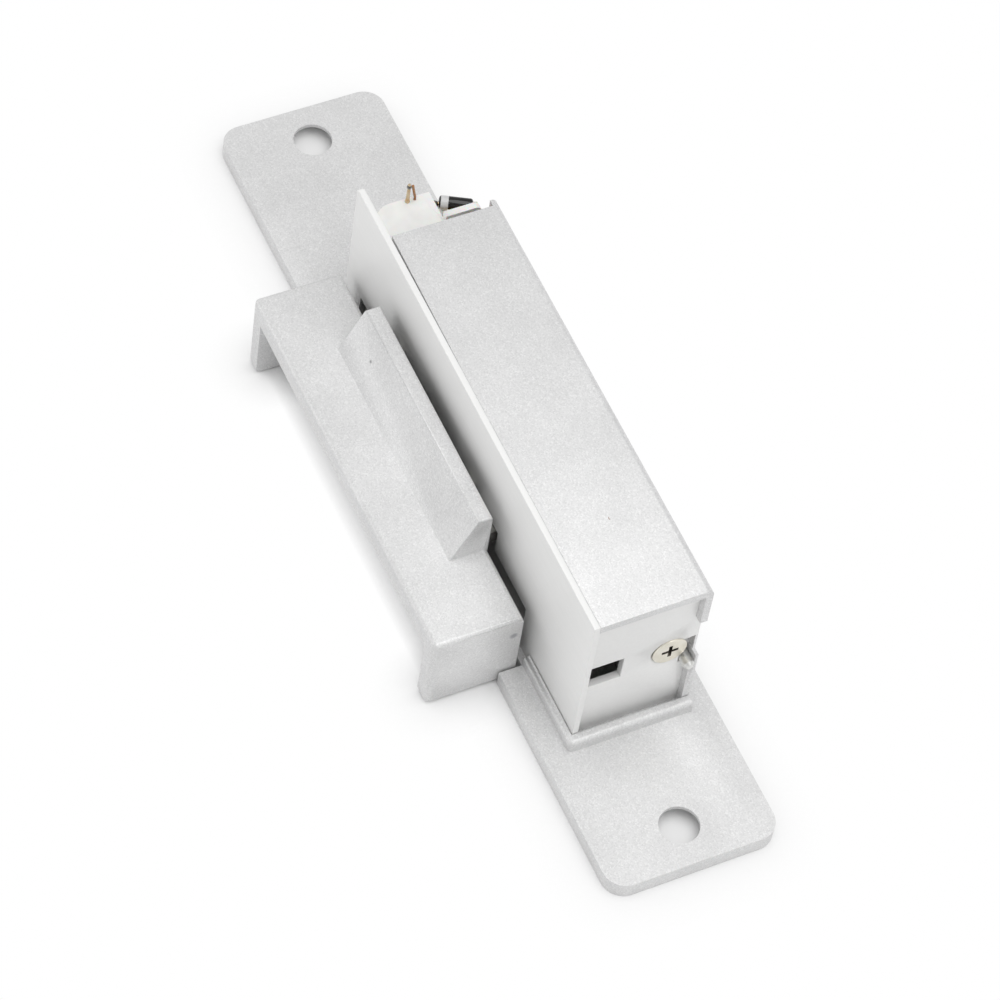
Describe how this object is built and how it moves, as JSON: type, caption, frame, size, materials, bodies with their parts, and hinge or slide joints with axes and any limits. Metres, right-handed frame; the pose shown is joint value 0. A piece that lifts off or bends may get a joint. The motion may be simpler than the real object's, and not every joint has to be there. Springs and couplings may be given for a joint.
{
  "type": "electric strike",
  "caption": "Narrow electric strike with a flat faceplate, boxed solenoid housing and a side-mounted swinging keeper that releases a spring latch.",
  "frame": {"origin": "middle of the two fixing holes, on the faceplate's front face", "axes": "+X along the faceplate towards the end with the screwed end plate, -Y towards the keeper's side, +Z out of the rear of the faceplate, into the door frame"},
  "size_m": [0.15, 0.0397, 0.0345],
  "materials": {
    "sparkle_paint": "fine sparkle silver",
    "satin_sheet": "satin silver",
    "steel": "satin",
    "nickel": "bright nickel plate",
    "white_nylon": "matt",
    "enamelled_copper": "enamelled wire",
    "amber_tape": "polyester tape",
    "black_epoxy": "gloss",
    "tinned_brass": "dull"
  },
  "bodies": {
    "strike_body": {"faceplate": "sparkle_paint", "housing": "sparkle_paint", "side_cover": "satin_sheet", "end_plate": "satin_sheet", "latch_tray": "satin_sheet", "hinge_bracket": "steel", "hinge_pin": "steel", "keeper_spring": "steel", "lever_pin": "steel", "lever_spring": "steel", "solenoid_yoke": "steel", "coil_bobbin": "white_nylon", "coil_winding": "enamelled_copper", "coil_tape": "amber_tape", "fixed_core": "steel", "plunger_spring": "steel", "terminal_pin_left": "tinned_brass", "terminal_pin_right": "tinned_brass", "coil_lead": "enamelled_copper", "flyback_diode": "black_epoxy", "diode_lead_left": "tinned_brass", "diode_lead_right": "tinned_brass", "end_screw": "nickel", "front_screw_near": "nickel", "front_screw_far": "nickel"},
    "keeper_body": {"keeper": "sparkle_paint"},
    "lever_body": {"locking_lever": "steel"},
    "plunger_body": {"plunger": "steel", "plunger_clip": "steel"}
  },
  "joints": [
    {"name": "keeper_hinge", "type": "hinge", "parent": "strike_body", "child": "keeper_body", "pos_m": [0, -0.0126, 0.0211], "axis": [-1, 0, 0], "range_deg": [0, 70], "stiffness_Nm_per_rad": 0.008, "springref_deg": -34.38},
    {"name": "lever_pivot", "type": "hinge", "parent": "strike_body", "child": "lever_body", "pos_m": [0, 0.00875, 0.0148], "axis": [1, 0, 0], "range_deg": [0, 5], "deforming": ["lever_spring"]},
    {"name": "plunger_slide", "type": "slide", "parent": "strike_body", "child": "plunger_body", "axis": [-1, 0, 0], "range_m": [0, 0.0038], "deforming": ["plunger_spring"]}
  ],
  "couplings": [
    {"joint": "lever_pivot", "follows": "keeper_hinge", "ratio": 0.0714},
    {"joint": "plunger_slide", "follows": "keeper_hinge", "m_per_rad": 0.00311}
  ]
}
